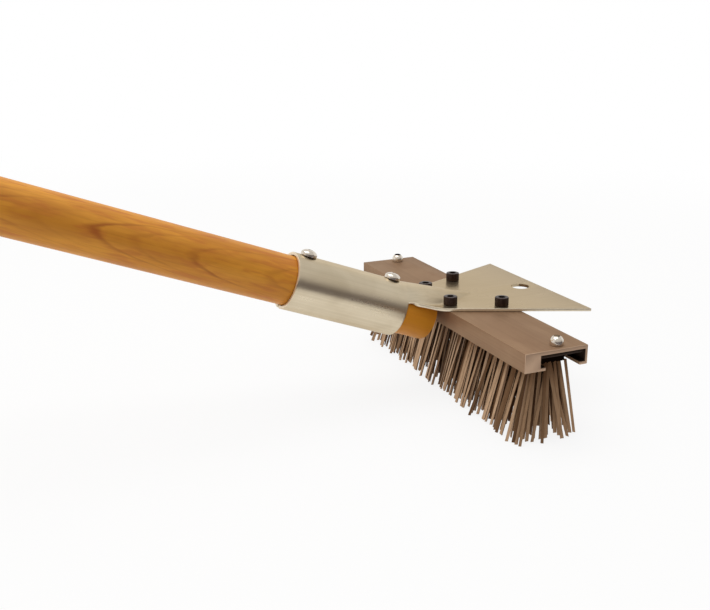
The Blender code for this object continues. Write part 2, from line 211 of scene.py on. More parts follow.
# Places read from the frame
CHANNEL_LOW, CHANNEL_HIGH = (Vector(corner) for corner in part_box("brush_channel"))
HEAD = Vector(((CHANNEL_LOW.x + CHANNEL_HIGH.x) / 2, 0.0, CHANNEL_HIGH.z))
REAR_FACE = CHANNEL_LOW.x
FRONT_FACE = CHANNEL_HIGH.x
CHANNEL_TOP = CHANNEL_HIGH.z
CHANNEL_BOTTOM = CHANNEL_LOW.z
CHANNEL_HALF = CHANNEL_HIGH.y
SLOT_REAR = REAR_FACE + RAIL_WIDTH
SLOT_FRONT = FRONT_FACE - FRONT_WALL
SLOT_LOW = CHANNEL_BOTTOM + LIP_THICKNESS
SLOT_HIGH = CHANNEL_TOP - TOP_WALL
MOUTH_REAR = SLOT_REAR + LIP_REACH
MOUTH_FRONT = SLOT_FRONT - LIP_REACH
SCRAPER_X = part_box("scraper_bracket")[1][0]
PLATE_BOTTOM = CHANNEL_TOP + FIT_GAP
PLATE_TOP = PLATE_BOTTOM + SHEET
BUTT_MOUNT = next(mount for mount in RECORD["mounts"] if mount["name"] == "handle_butt")
BUTT = Vector(BUTT_MOUNT["pos_m"])
HANDLE_AXIS = Vector(BUTT_MOUNT["axis"]).normalized()
SOCKET_TILT = math.asin(HANDLE_AXIS.z)
SOCKET_X = REAR_FACE - SOCKET_SETBACK
SOCKET_Z = PLATE_BOTTOM - SOCKET_AXIS_DROP
ARCH_TIP = SOCKET_X + ARCH_RUN
BLOCK_LOW = Vector(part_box(BLOCKS[0])[0])
BLOCK_HIGH = Vector(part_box(BLOCKS[-1])[1])
BLOCK_HALF = CHANNEL_HALF - BLOCK_INSET
FLOOR_HEIGHT = CAD_BOX[0][2]


# Small tools for modelling
def deselect():
    bpy.ops.object.select_all(action="DESELECT")


def take(obj):
    """Make one object the selected and active one."""
    deselect()
    obj.select_set(True)
    bpy.context.view_layer.objects.active = obj


def named(name):
    """Name the primitive that was just added."""
    obj = bpy.context.active_object
    obj.name = name
    obj.data.name = name
    return obj


def settle(obj):
    """Put the object's place into its mesh."""
    take(obj)
    bpy.ops.object.transform_apply(location=True, rotation=True, scale=True)


def cylinder(name, radius, low, high, sides, place=Matrix.Identity(4)):
    """Upright cylinder between two heights, then carried to its place."""
    deselect()
    bpy.ops.mesh.primitive_cylinder_add(vertices=sides, radius=radius, depth=high - low)
    obj = named(name)
    obj.matrix_world = place @ Matrix.Translation((0, 0, (low + high) / 2))
    settle(obj)
    return obj


def block(name, low, high):
    """Box between two corners."""
    low, high = Vector(low), Vector(high)
    deselect()
    bpy.ops.mesh.primitive_cube_add(size=1.0, location=(low + high) / 2)
    obj = named(name)
    obj.scale = high - low
    settle(obj)
    return obj


def pick_faces(obj, test):
    """Leave the object in edit mode with the faces that pass the test selected."""
    take(obj)
    bpy.ops.object.mode_set(mode="EDIT")
    bpy.ops.mesh.select_mode(type="FACE")
    bpy.ops.mesh.select_all(action="DESELECT")
    bpy.ops.object.mode_set(mode="OBJECT")
    for face in obj.data.polygons:
        face.select = test(face.center, face.normal)
    bpy.ops.object.mode_set(mode="EDIT")


def pick_edges(obj, test):
    """Leave the object in edit mode with the edges whose ends pass the test selected."""
    take(obj)
    bpy.ops.object.mode_set(mode="EDIT")
    bpy.ops.mesh.select_mode(type="EDGE")
    bpy.ops.mesh.select_all(action="DESELECT")
    bpy.ops.object.mode_set(mode="OBJECT")
    points = obj.data.vertices
    for edge in obj.data.edges:
        edge.select = test(points[edge.vertices[0]].co, points[edge.vertices[1]].co)
    bpy.ops.object.mode_set(mode="EDIT")


def faces_up(centre, normal):
    return normal.z > 0.9


def faces_down(centre, normal):
    return normal.z < -0.9


def leave_edit():
    bpy.ops.object.mode_set(mode="OBJECT")


def apply_modifier(obj, kind, **settings):
    take(obj)
    modifier = obj.modifiers.new(kind.lower(), kind)
    for key, value in settings.items():
        setattr(modifier, key, value)
    bpy.ops.object.modifier_apply(modifier=modifier.name)


def carve(obj, tool, operation="DIFFERENCE"):
    """Cut a tool out of the object, or join it on, and throw the tool away."""
    apply_modifier(obj, "BOOLEAN", operation=operation, solver="EXACT", object=tool)
    bpy.data.objects.remove(tool, do_unlink=True)


def ease_edges(obj, width, angle=35):
    apply_modifier(obj, "BEVEL", width=width, segments=2, limit_method="ANGLE",
                   angle_limit=math.radians(angle), harden_normals=False)


def smooth(obj, angle):
    take(obj)
    bpy.ops.object.shade_smooth_by_angle(angle=math.radians(angle))


def hex_tool(flats, depth, top):
    """Six-sided tool that cuts a socket down from the top of a head."""
    return cylinder("tool", flats / math.sqrt(3), top - depth, top + OVERCUT, 6)


def middle_of(node):
    """Middle of a solid's box."""
    low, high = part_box(node)
    return (Vector(low) + Vector(high)) / 2


def drill(node, shank_radius, low, high):
    """Tool for the upright hole of one screw."""
    middle = middle_of(node)
    return cylinder("tool", shank_radius + HOLE_CLEARANCE, low, high, HOLE_SIDES,
                    Matrix.Translation((middle.x, middle.y, 0)))


def dress(obj, finish, body, *nodes, slot):
    """Give a piece its finish, its body and the solids it stands for."""
    obj.data.materials.clear()
    obj.data.materials.append(finish)
    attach(obj, body)
    if nodes:
        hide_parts(*nodes)


def second_finish(obj, finish, test):
    """Give the faces that pass the test a finish of their own."""
    obj.data.materials.append(finish)
    for face in obj.data.polygons:
        if test(face.center, face.normal):
            face.material_index = 1


# Shader maths
class Value:
    """A socket that can be used in arithmetic."""

    def __init__(self, finish, socket):
        self.finish = finish
        self.socket = socket

    def _math(self, operation, *inputs):
        return self.finish.node("ShaderNodeMath", {"operation": operation}, inputs)

    def __add__(self, other):
        return self._math("ADD", self, other)

    def __radd__(self, other):
        return self._math("ADD", other, self)

    def __sub__(self, other):
        return self._math("SUBTRACT", self, other)

    def __rsub__(self, other):
        return self._math("SUBTRACT", other, self)

    def __mul__(self, other):
        return self._math("MULTIPLY", self, other)

    def __rmul__(self, other):
        return self._math("MULTIPLY", other, self)

    def __truediv__(self, other):
        return self._math("DIVIDE", self, other)

    def __rtruediv__(self, other):
        return self._math("DIVIDE", other, self)

    def __neg__(self):
        return self._math("MULTIPLY", self, -1.0)

    def __abs__(self):
        return self._math("ABSOLUTE", self)

    def root(self):
        return self._math("SQRT", self)

    def fraction(self):
        return self._math("FRACT", self)

    def larger(self, other):
        return self._math("MAXIMUM", self, other)


class Finish:
    """The nodes of one material or of the world, and the method that makes them."""

    def __init__(self, owner):
        self.owner = owner
        owner.use_nodes = True
        self.tree = owner.node_tree
        self.shader = self.tree.nodes.get("Principled BSDF")

    def node(self, kind, settings=None, inputs=None, output=0):
        """Add a node: its settings, then its sockets' values or links. A tuple of outputs gives a list."""
        made = self.tree.nodes.new(kind)
        for key, value in (settings or {}).items():
            setattr(made, key, value)
        pairs = inputs.items() if isinstance(inputs, dict) else enumerate(inputs or [])
        for key, value in pairs:
            self.feed(made.inputs[key], value)
        if isinstance(output, tuple):
            return [Value(self, made.outputs[name]) for name in output]
        return Value(self, made.outputs[output])

    def feed(self, socket, value):
        if isinstance(value, Value):
            self.tree.links.new(value.socket, socket)
        else:
            socket.default_value = value

    def set(self, **sockets):
        """Set or link sockets of the shader, with spaces written as underscores."""
        for key, value in sockets.items():
            self.feed(self.shader.inputs[key.replace("_", " ")], value)

    def show(self, output, shader):
        """Link a shader to the tree's output node."""
        self.feed(self.tree.nodes[output].inputs["Surface"], shader)

    def mapped(self, scale=(1, 1, 1), turn=(0, 0, 0), shift=(0, 0, 0), source=None):
        """Object coordinates scaled, then turned, then shifted."""
        source = source or self.node("ShaderNodeTexCoord", output="Object")
        return self.node("ShaderNodeMapping", {"vector_type": "POINT"},
                         {"Vector": source, "Location": shift, "Rotation": turn, "Scale": scale})

    def noise(self, vector, detail=3.0, roughness=0.55, distortion=0.0):
        return self.node("ShaderNodeTexNoise", {}, {
            "Vector": vector, "Scale": 1.0, "Detail": detail,
            "Roughness": roughness, "Distortion": distortion})

    def between(self, value, low, high):
        """Bring a value's span low..high softly to 0..1, held at both ends."""
        return self.node("ShaderNodeMapRange", {"interpolation_type": "SMOOTHSTEP"},
                         {"Value": value, "From Min": low, "From Max": high})

    def within(self, value, low, high, edge):
        """One from low to high, and softly nothing past an edge on either side."""
        return self.between(value, low - edge, low) * (1.0 - self.between(value, high, high + edge))

    def mix(self, share, first, second):
        return self.node("ShaderNodeMix", {"data_type": "RGBA"}, {0: share, 6: first, 7: second}, output=2)

    def mix_shaders(self, share, first, second):
        return self.node("ShaderNodeMixShader", {}, [share, first, second])

    def bump(self, height, strength, distance):
        return self.node("ShaderNodeBump", {}, {
            "Height": height, "Strength": strength, "Distance": distance})

    def axes(self, vector):
        return self.node("ShaderNodeSeparateXYZ", {}, [vector], output=("X", "Y", "Z"))

    def place(self):
        """The three object coordinates of a point on the piece."""
        return self.axes(self.node("ShaderNodeTexCoord", output="Object"))

    def seen(self, mirrored=1.0):
        """One for rays straight from the view, and a share for those by way of a mirror or glass."""
        camera, glossy, through = self.node(
            "ShaderNodeLightPath", output=("Is Camera Ray", "Is Glossy Ray", "Is Transmission Ray"))
        return camera.larger(glossy.larger(through) * mirrored)


def colour(red, green, blue):
    """Linear colour from 0..255 screen values."""
    def linear(value):
        share = value / 255
        return share / 12.92 if share <= 0.04045 else ((share + 0.055) / 1.055) ** 2.4
    return (linear(red), linear(green), linear(blue), 1.0)


def new_finish(name):
    return Finish(bpy.data.materials.new(name))


# Finishes
RING_SPACING = 0.031
RING_SLOPE = 0.085
RING_SEED = 1145
PITH_BELOW = 0.010
PITH_BEHIND = 0.058


def varnished_wood():
    """Plain-sawn hardwood: a few soft pointed growth rings, fine fibres, satin varnish, and painted light
    on the stub where the arch shades it.
    """
    finish = new_finish("varnished_wood")
    turn = math.pi / 2 - SOCKET_TILT
    shift = Matrix.Rotation(turn, 3, "Y") @ (-BUTT)
    along = finish.mapped(turn=(0, turn, 0), shift=shift)
    x, y, z = finish.axes(along)
    outermost = math.hypot(PITH_BELOW, PITH_BEHIND) + HANDLE_RADIUS
    wander = finish.noise(finish.mapped(scale=(80, 80, 22), source=along)) - 0.5
    pith = ((x + PITH_BELOW) * (x + PITH_BELOW) + (y - PITH_BEHIND) * (y - PITH_BEHIND)).root()
    growth = ((pith - outermost + wander * 0.0022) / RING_SLOPE - z) / RING_SPACING
    ring = growth.fraction()
    chance = finish.node("ShaderNodeTexWhiteNoise", {"noise_dimensions": "1D"},
                         {"W": growth - ring + RING_SEED}, output="Color")
    strength, place = finish.axes(chance)[:2]
    edge = 0.25 + place * 0.55
    late = finish.between(ring, edge - 0.25, edge) * (1.0 - finish.between(ring, edge, edge + 0.14))
    late = late * (1.0 - finish.between(outermost - pith, 0.0006, 0.0040) * 0.72)
    stub_end = STUB_REACH - HANDLE_LENGTH
    late = late * finish.between(z, stub_end, stub_end + 0.07)
    patch = finish.noise(finish.mapped(scale=(70, 70, 20), source=along), detail=1.0)
    fade = finish.between(patch, 0.25, 0.65)
    fibre = finish.noise(finish.mapped(scale=(700, 700, 18), source=along), roughness=0.6)
    fleck = finish.noise(finish.mapped(scale=(230, 230, 42), source=along), detail=2.0, roughness=0.6)
    cloud = finish.noise(finish.mapped(scale=(70, 70, 16), source=along))
    base = finish.mix(finish.between(cloud, 0.32, 0.68), colour(229, 157, 51), colour(207, 135, 40))
    base = finish.mix(finish.between(fleck, 0.46, 0.68) * 0.58, base, colour(197, 112, 42))
    base = finish.mix(late * strength * (0.32 + fade * 0.58), base, colour(150, 64, 18))
    base = finish.mix(finish.between(fibre, 0.45, 0.75) * 0.20, base, colour(166, 98, 30))
    # Painted light: the stub is painted paler against the shade that the arch casts on it.
    stub = 1.0 - finish.between(z, stub_end, stub_end + 0.02)
    base = finish.mix(stub * 0.5, base, colour(240, 160, 38))
    finish.set(Base_Color=base, Roughness=0.46 + fibre * 0.14, Specular_IOR_Level=0.30,
               Coat_Weight=0.06, Coat_Roughness=0.30, Normal=finish.bump(fibre, 0.08, 0.0003))
    return finish.owner


def rolled_sheet():
    """Mill-finish sheet: pale warm metal with rolling lines and smears, duller on the plate and folds."""
    finish = new_finish("rolled_sheet")
    x, y = finish.place()[:2]
    socket = finish.mapped(turn=(0, -SOCKET_TILT, 0))
    lines = finish.mix(finish.between(x, SOCKET_X - 0.004, SOCKET_X + 0.012),
                       finish.noise(finish.mapped(scale=(9, 620, 620), source=socket)),
                       finish.noise(finish.mapped(scale=(9, 620, 620))))
    smear = finish.noise(finish.mapped(scale=(30, 38, 34)), distortion=0.6)
    base = finish.mix(finish.between(smear, 0.35, 0.7), colour(219, 205, 179), colour(207, 192, 165))
    base = finish.mix(finish.between(x, SOCKET_X, ARCH_TIP) * 0.85, base, colour(188, 170, 140))
    base = finish.mix(finish.between(lines, 0.4, 0.7) * 0.18, base, colour(172, 156, 125))
    off = abs(y)
    fold = finish.between(off, 0.006, 0.012) * (1.0 - finish.between(off, 0.018, 0.021))
    fold = fold * finish.between(x, SOCKET_X + 0.010, SOCKET_X + 0.022)
    fold = fold * (1.0 - finish.between(x, REAR_FACE, ARCH_TIP))
    finish.set(Base_Color=base, Metallic=0.95, Roughness=0.22 + smear * 0.08 + lines * 0.06 + fold * 0.30,
               Specular_Tint=(0.79, 0.72, 0.62, 1.0),
               Normal=finish.bump(lines, 0.05, 0.0003))
    return finish.owner


def grained_metal(name, scale, first, second, metallic, roughness, change):
    """Metal of one tone, with a fine grain in its colour and its gloss."""
    finish = new_finish(name)
    grain = finish.noise(finish.mapped(scale=scale), detail=2.0)
    finish.set(Base_Color=finish.mix(grain, first, second), Metallic=metallic,
               Roughness=roughness + grain * change)
    return finish.owner


def cut_edge_highlight():
    """Cut faces of the sheet, painted bright as a highlight along the edges."""
    return grained_metal("cut_edge_highlight", (500, 500, 500), colour(244, 232, 208), colour(226, 212, 184),
                         metallic=0.60, roughness=0.28, change=0.14)


def drawn_aluminium():
    """Brownish extruded metal with drawing lines along the channel, painted light on its end faces and
    painted shade inside the slot.
    """
    finish = new_finish("drawn_aluminium")
    lines = finish.noise(finish.mapped(scale=(700, 5, 700)))
    patch = finish.noise(finish.mapped(scale=(40, 18, 40)), distortion=0.5)
    base = finish.mix(finish.between(patch, 0.35, 0.7), colour(160, 130, 103), colour(149, 119, 94))
    base = finish.mix(finish.between(lines, 0.42, 0.7) * 0.22, base, colour(126, 98, 75))
    x, y, z = finish.place()
    # Painted light: both end faces are painted paler, as where light falls on them.
    sawn = finish.between(abs(y), CHANNEL_HALF - 0.0006, CHANNEL_HALF - 0.0003)
    base = finish.mix(sawn * 0.8, base, colour(204, 174, 148))
    # Painted shade: the slot's inner faces are painted near-black for the shade inside the channel.
    skin = 0.0002
    inside = finish.within(x, SLOT_REAR - skin, SLOT_FRONT + skin, skin)
    inside = inside * finish.within(z, SLOT_LOW - skin, SLOT_HIGH + skin, skin)
    base = finish.mix(inside * 0.94, base, colour(26, 16, 10))
    finish.set(Base_Color=base, Metallic=0.70, Roughness=0.44 + patch * 0.10,
               Specular_Tint=(0.62, 0.55, 0.47, 1.0),
               Normal=finish.bump(lines, 0.10, 0.0003))
    return finish.owner


def black_oxide():
    """Blackened screw steel, slightly brown."""
    return grained_metal("black_oxide", (900, 900, 900), colour(38, 21, 14), colour(56, 36, 27),
                         metallic=0.6, roughness=0.28, change=0.16)


def satin_steel():
    """Bright plain steel of the round heads."""
    return grained_metal("satin_steel", (420, 420, 420), colour(228, 219, 206), colour(206, 196, 182),
                         metallic=0.95, roughness=0.17, change=0.10)


def strip_steel():
    """Dark rolled strip with lines along it."""
    return grained_metal("strip_steel", (500, 8, 500), colour(58, 42, 31), colour(40, 28, 20),
                         metallic=0.8, roughness=0.40, change=0.15)


def dark_block_and_shade():
    """Dull dark moulding that the wires are set in, painted near-black as the shade inside the slot."""
    finish = new_finish("dark_block_and_shade")
    grain = finish.noise(finish.mapped(scale=(300, 40, 300)))
    base = finish.mix(grain, colour(12, 7, 4), colour(24, 15, 9))
    finish.set(Base_Color=base, Roughness=0.66 + grain * 0.12, Specular_IOR_Level=0.0,
               Normal=finish.bump(grain, 0.2, 0.0004))
    return finish.owner


def flat_wire():
    """Dull spring wire: each has its own tone, with painted shade at its root, on its narrow edges, inside
    the brush and on the shaded copies among the lit wires.
    """
    finish = new_finish("flat_wire")
    tone = finish.node("ShaderNodeAttribute", {"attribute_name": "wire_tone_and_shade"}, output="Fac")
    side = finish.node("ShaderNodeAttribute", {"attribute_name": "wire_side_shade"}, output="Fac")
    grain = finish.noise(finish.mapped(scale=(500, 500, 60)))
    lit = finish.mix(tone, colour(184, 144, 104), colour(197, 164, 132))
    # Painted shade: tone and side shade carry the wire towards a dark brown.
    base = finish.mix(tone * side, colour(64, 34, 12), lit)
    base = finish.mix(finish.between(grain, 0.4, 0.7) * 0.20, base, colour(86, 57, 36))
    finish.set(Base_Color=base, Metallic=0.80, Roughness=0.40 + grain * 0.16, Specular_IOR_Level=0.2)
    return finish.owner


# Shape of the bracket's sheet
def handle_point(along, radius, angle=0.0):
    """Point at a distance up the handle from the socket's lower end; angle 0 is the top line."""
    out = radius * math.cos(angle)
    x = SOCKET_X - along * math.cos(SOCKET_TILT) + out * math.sin(SOCKET_TILT)
    z = SOCKET_Z + along * math.sin(SOCKET_TILT) + out * math.cos(SOCKET_TILT)
    return Vector((x, radius * math.sin(angle), z))


def on_socket(along, radius):
    """Place on the top line of the socket, square to the handle."""
    return Matrix.Translation(handle_point(along, radius)) @ Matrix.Rotation(SOCKET_TILT, 4, "Y")


ARCH_ANGLE = math.acos((PLATE_TOP + EDGE_RISE - SOCKET_Z) / (SOCKET_RADIUS * math.cos(SOCKET_TILT)))
ARCH_CORNER = handle_point(0, SOCKET_RADIUS, ARCH_ANGLE)
ARCH_TOP = handle_point(0, SOCKET_RADIUS)


def edge_share(x):
    """0 at the socket's end, 1 where the plate's edge has run out straight and level."""
    return min(max((x - ARCH_CORNER.x) / EDGE_SWEEP, 0.0), 1.0)


def edge_ease(x):
    share = edge_share(x)
    return share * share * (3 - 2 * share)


def plate_half_width(x):
    """Half the plate's width: a straight flare that sweeps in to meet the socket's end."""
    flare = (SCRAPER_EDGE - REAR_PLATE_WIDTH) / 2 / (SCRAPER_X - REAR_FACE)
    straight = REAR_PLATE_WIDTH / 2 + flare * (x - REAR_FACE)
    return ARCH_CORNER.y + (straight - ARCH_CORNER.y) * edge_ease(x)


def sheet_height(x, y):
    """Top of the sheet: an arch with the socket's round section and a soft foot on the plate."""
    share = min(max((x - ARCH_CORNER.x) / (ARCH_TIP - ARCH_CORNER.x), 0.0), 1.0)
    width = ARCH_CORNER.y * (1 - share ** ARCH_NOSE)
    level = PLATE_TOP + EDGE_RISE * (1 - edge_ease(x))
    line = (ARCH_TOP.z - PLATE_TOP) * max(ARCH_TIP - x, 0.0) / (ARCH_TIP - ARCH_TOP.x)
    crown = PLATE_TOP + line - level
    if crown <= 0 or width <= 0:
        return level
    foot = math.cos(ARCH_ANGLE)
    across = min(abs(y) / width * math.sin(ARCH_ANGLE), 1.0)
    rise = crown * (math.sqrt(1 - across * across) - foot) / (1 - foot)
    blend = min(BEND_BLEND * edge_share(x), crown * foot / (1 - foot))
    if rise <= -blend:
        return level
    if rise >= blend:
        return level + rise
    return level + (rise + blend) ** 2 / (4 * blend)


def bent_grid(name, columns, rows, point):
    """A flat grid whose points are carried to point(column share, row share)."""
    deselect()
    bpy.ops.mesh.primitive_grid_add(x_subdivisions=columns, y_subdivisions=rows, size=2.0)
    obj = named(name)
    for vertex in obj.data.vertices:
        vertex.co = point((vertex.co.x + 1) / 2, (vertex.co.y + 1) / 2)
    return obj


# Pieces
def make_handle(finish):
    """A round bar with a rounded butt and a crisp stub end."""
    place = Matrix.Translation(BUTT - HANDLE_AXIS * HANDLE_LENGTH)
    place = place @ HANDLE_AXIS.to_track_quat("Z", "Y").to_matrix().to_4x4()
    deselect()
    bpy.ops.mesh.primitive_cylinder_add(vertices=HANDLE_SIDES, radius=HANDLE_RADIUS, depth=HANDLE_LENGTH)
    obj = named("wood_handle")
    pick_faces(obj, faces_up)
    bpy.ops.mesh.bevel(offset=BUTT_ROUNDING, segments=7, affect="EDGES")
    leave_edit()
    pick_faces(obj, faces_down)
    bpy.ops.mesh.bevel(offset=STUB_ROUNDING, segments=2, affect="EDGES")
    leave_edit()
    obj.matrix_world = place @ Matrix.Translation((0, 0, HANDLE_LENGTH / 2))
    settle(obj)
    smooth(obj, 40)
    dress(obj, finish, "frame", "handle", slot="handle_wood")


def cut_face(centre, normal):
    """True on the sheet's sheared edges: the plate's outline and the socket's two ends."""
    if centre.x < ARCH_CORNER.x:
        return abs(normal.dot(HANDLE_AXIS)) > 0.4
    at_side = abs(centre.y) > plate_half_width(centre.x) - SHEARED_SIDE_DEPTH
    return at_side or centre.x > SCRAPER_X - SHEARED_FRONT_DEPTH


def make_bracket(finish, edge):
    """One sheet, rolled round the handle with a seam below and flattened into the scraper."""
    seam = math.pi - SEAM_WIDTH / 2 / SOCKET_RADIUS
    rings = (0.0, 0.012, 0.5, 0.988, 1.0)
    turns = len(rings) - 1
    rows = 44

    def roll(low, high):
        return lambda u, v: handle_point(
            SOCKET_LENGTH * rings[round(turns * v)], SOCKET_RADIUS, low + (high - low) * u)

    def spread(u, v):
        start = handle_point(0, SOCKET_RADIUS, ARCH_ANGLE * (2 * u - 1))
        row = round(v * rows)
        if row == 0:
            return start
        run = SCRAPER_X if row == rows else start.x + (ARCH_TIP - start.x) * row / (rows - 1)
        y = start.y / ARCH_CORNER.y * plate_half_width(run)
        return Vector((run, y, sheet_height(run, y)))

    obj = bent_grid("scraper_sheet", ARCH_COLUMNS, rows, spread)
    parts = [
        bent_grid("socket_top", ARCH_COLUMNS, turns, roll(-ARCH_ANGLE, ARCH_ANGLE)),
        bent_grid("socket_near", SOCKET_SIDE_COLUMNS, turns, roll(-seam, -ARCH_ANGLE)),
        bent_grid("socket_far", SOCKET_SIDE_COLUMNS, turns, roll(ARCH_ANGLE, seam)),
    ]
    take(obj)
    for part in parts:
        part.select_set(True)
    bpy.ops.object.join()
    bpy.ops.object.mode_set(mode="EDIT")
    bpy.ops.mesh.select_all(action="SELECT")
    bpy.ops.mesh.remove_doubles(threshold=0.00001)
    bpy.ops.mesh.normals_make_consistent(inside=False)
    leave_edit()
    plate = [face for face in obj.data.polygons if face.center.x > FRONT_FACE]
    if sum(math.copysign(1, face.normal.z) for face in plate) < 0:
        obj.data.flip_normals()
    apply_modifier(obj, "SOLIDIFY", thickness=SHEET, offset=-1.0, use_even_offset=True)
    ease_edges(obj, SHEET_EDGE_ROUNDING, angle=50)
    below, above = PLATE_BOTTOM - SHEET, PLATE_TOP + SHEET
    for node in CAP_SCREWS:
        carve(obj, drill(node, CAP_SHANK_RADIUS, below, above))
    for along in HANDLE_SCREW_PLACES:
        carve(obj, cylinder("tool", HANDLE_SHANK_RADIUS + HOLE_CLEARANCE, -2 * SHEET, SHEET,
                            HOLE_SIDES, on_socket(along, SOCKET_RADIUS)))
    hole = Matrix.Translation((SCRAPER_X - HANGING_HOLE_TO_EDGE, 0, 0))
    carve(obj, cylinder("tool", HANGING_HOLE_DIAMETER / 2, below, above, HANGING_HOLE_SIDES, hole))
    smooth(obj, 38)
    dress(obj, finish, "frame", "scraper_bracket", slot="bracket_sheet")
    # The cut faces take the painted edge highlight.
    second_finish(obj, edge, cut_face)


def make_channel(finish):
    """A bar with its slot and mouth milled out, holes drilled and edges eased."""
    obj = block("channel_bar", CHANNEL_LOW, CHANNEL_HIGH)
    past = CHANNEL_HALF + OVERCUT
    slot = block("tool", (SLOT_REAR, -past, SLOT_LOW), (SLOT_FRONT, past, SLOT_HIGH))
    mouth = block("tool", (MOUTH_REAR, -past, CHANNEL_BOTTOM - OVERCUT),
                  (MOUTH_FRONT, past, SLOT_LOW + OVERCUT))
    carve(obj, slot)
    carve(obj, mouth)
    ease_edges(obj, CHANNEL_ROUNDING)
    for node in CAP_SCREWS + END_SCREWS:
        shank = END_SHANK_RADIUS if node in END_SCREWS else CAP_SHANK_RADIUS
        depth = CHANNEL_BOTTOM - OVERCUT if "rear" in node else CHANNEL_TOP - 2 * TOP_WALL
        carve(obj, drill(node, shank, depth, CHANNEL_TOP + OVERCUT))
    smooth(obj, 30)
    dress(obj, finish, "frame", "brush_channel", slot="channel_aluminium")


def add_shank(obj, head_radius, shank_radius, length):
    """Inset the head's underside and pull the shank out of it."""
    pick_faces(obj, lambda centre, normal: normal.z < -0.9 and centre.z < 0.0001)
    bpy.ops.mesh.inset(thickness=head_radius - shank_radius)
    bpy.ops.mesh.extrude_region_move(TRANSFORM_OT_translate={"value": (0, 0, -length)})
    leave_edit()


def fit_screw(obj, place, node, finish, slot):
    """Carry a finished screw to its seat and dress it for its solid."""
    obj.matrix_world = place
    settle(obj)
    smooth(obj, 28)
    dress(obj, finish, "frame", node, slot=slot)


def make_cap_screw(node, finish):
    """Cylinder head with a knurled side, rounded rim and six-sided socket."""
    low, high = (Vector(corner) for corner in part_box(node))
    middle = middle_of(node)
    seat = high.z - CAP_HEAD_HEIGHT
    name = node.replace("cap_screw", "socket_screw")
    obj = cylinder(name, CAP_HEAD_RADIUS, 0.0, CAP_HEAD_HEIGHT, KNURL_SIDES)
    for vertex in obj.data.vertices:
        angle = math.atan2(vertex.co.y, vertex.co.x)
        if round(angle / (2 * math.pi / KNURL_SIDES)) % 2:
            vertex.co.x *= KNURL_GROOVE
            vertex.co.y *= KNURL_GROOVE
    pick_faces(obj, faces_up)
    bpy.ops.mesh.bevel(offset=CAP_RIM_ROUNDING, segments=3, affect="EDGES")
    leave_edit()
    add_shank(obj, CAP_HEAD_RADIUS, CAP_SHANK_RADIUS, seat - low.z)
    carve(obj, hex_tool(CAP_SOCKET_FLATS, CAP_SOCKET_DEPTH, CAP_HEAD_HEIGHT))
    fit_screw(obj, Matrix.Translation((middle.x, middle.y, seat)), node, finish, "black_screw")


def dome(name, radius, height, shank_radius, shank_length):
    """Round head: the top of a ball, drawn down to a short straight rim, with its shank."""
    rim = height * DOME_RIM_SHARE
    deselect()
    bpy.ops.mesh.primitive_uv_sphere_add(segments=48, ring_count=24, radius=1.0)
    obj = named(name)
    obj.scale = (radius, radius, height - rim)
    settle(obj)
    take(obj)
    bpy.ops.object.mode_set(mode="EDIT")
    bpy.ops.mesh.select_all(action="SELECT")
    bpy.ops.mesh.bisect(plane_co=(0, 0, 0), plane_no=(0, 0, 1), clear_inner=True, use_fill=True)
    bpy.ops.mesh.select_all(action="SELECT")
    bpy.ops.transform.translate(value=(0, 0, rim))
    leave_edit()
    pick_faces(obj, faces_down)
    bpy.ops.mesh.extrude_region_move(TRANSFORM_OT_translate={"value": (0, 0, -rim)})
    leave_edit()
    add_shank(obj, radius, shank_radius, shank_length)
    return obj


def make_end_screw(node, finish, recess):
    """Button head with a six-sided socket, whose recess and rim take a second finish; black there is
    painted shade.
    """
    middle = middle_of(node)
    name = node.replace("end_screw", "pinch_screw")
    obj = dome(name, END_HEAD_RADIUS, END_HEAD_HEIGHT, END_SHANK_RADIUS, TOP_WALL)
    carve(obj, hex_tool(END_SOCKET_FLATS, END_SOCKET_DEPTH, END_HEAD_HEIGHT))
    place = Matrix.Translation((middle.x, middle.y, CHANNEL_TOP + FIT_GAP))
    fit_screw(obj, place, node, finish, "bright_screw")
    # Painted shade: the recess and its rim take the second finish.
    second_finish(obj, recess, lambda centre, normal: centre.z > CHANNEL_TOP + END_HEAD_HEIGHT / 2
                  and math.hypot(centre.x - middle.x, centre.y - middle.y) < RECESS_SHADE_RADIUS)


def make_handle_screw(node, along, finish):
    """Round-head wood screw with a cross recess."""
    height = HANDLE_SCREW_HEIGHT
    name = node.replace("handle_screw", "wood_screw")
    obj = dome(name, HANDLE_SCREW_RADIUS, height, HANDLE_SHANK_RADIUS, HANDLE_SCREW_GRIP)
    for arm, side in ((CROSS_REACH, CROSS_WIDTH / 2), (CROSS_WIDTH / 2, CROSS_REACH)):
        carve(obj, block("tool", (-arm, -side, height - CROSS_DEPTH), (arm, side, height + OVERCUT)))
    place = on_socket(along, SOCKET_RADIUS + FIT_GAP) @ Matrix.Rotation(CROSS_TURN, 4, "Z")
    fit_screw(obj, place, node, finish, "bright_screw")


def make_strip(finish):
    """Flat strip along the top of the slot."""
    low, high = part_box("refill_strip")
    obj = block("back_strip", low, high)
    ease_edges(obj, STRIP_ROUNDING)
    smooth(obj, 30)
    dress(obj, finish, "refill", "refill_strip", slot="strip_steel")


def make_block(finish):
    """T-shaped block: a wide flange in the slot and a neck between the lips."""
    flange_low = Vector((SLOT_REAR + FIT_GAP, -BLOCK_HALF, SLOT_LOW + FIT_GAP))
    flange_high = Vector((SLOT_FRONT - FIT_GAP, BLOCK_HALF, BLOCK_HIGH.z))
    obj = block("bristle_block", flange_low, flange_high)
    neck = block("neck", (MOUTH_REAR + NECK_GAP, -BLOCK_HALF, CHANNEL_BOTTOM - NECK_DROP),
                 (MOUTH_FRONT - NECK_GAP, BLOCK_HALF, flange_high.z - NECK_COVER))
    carve(obj, neck, "UNION")
    ease_edges(obj, BLOCK_ROUNDING)
    smooth(obj, 30)
    dress(obj, finish, "refill", slot="wire_steel")


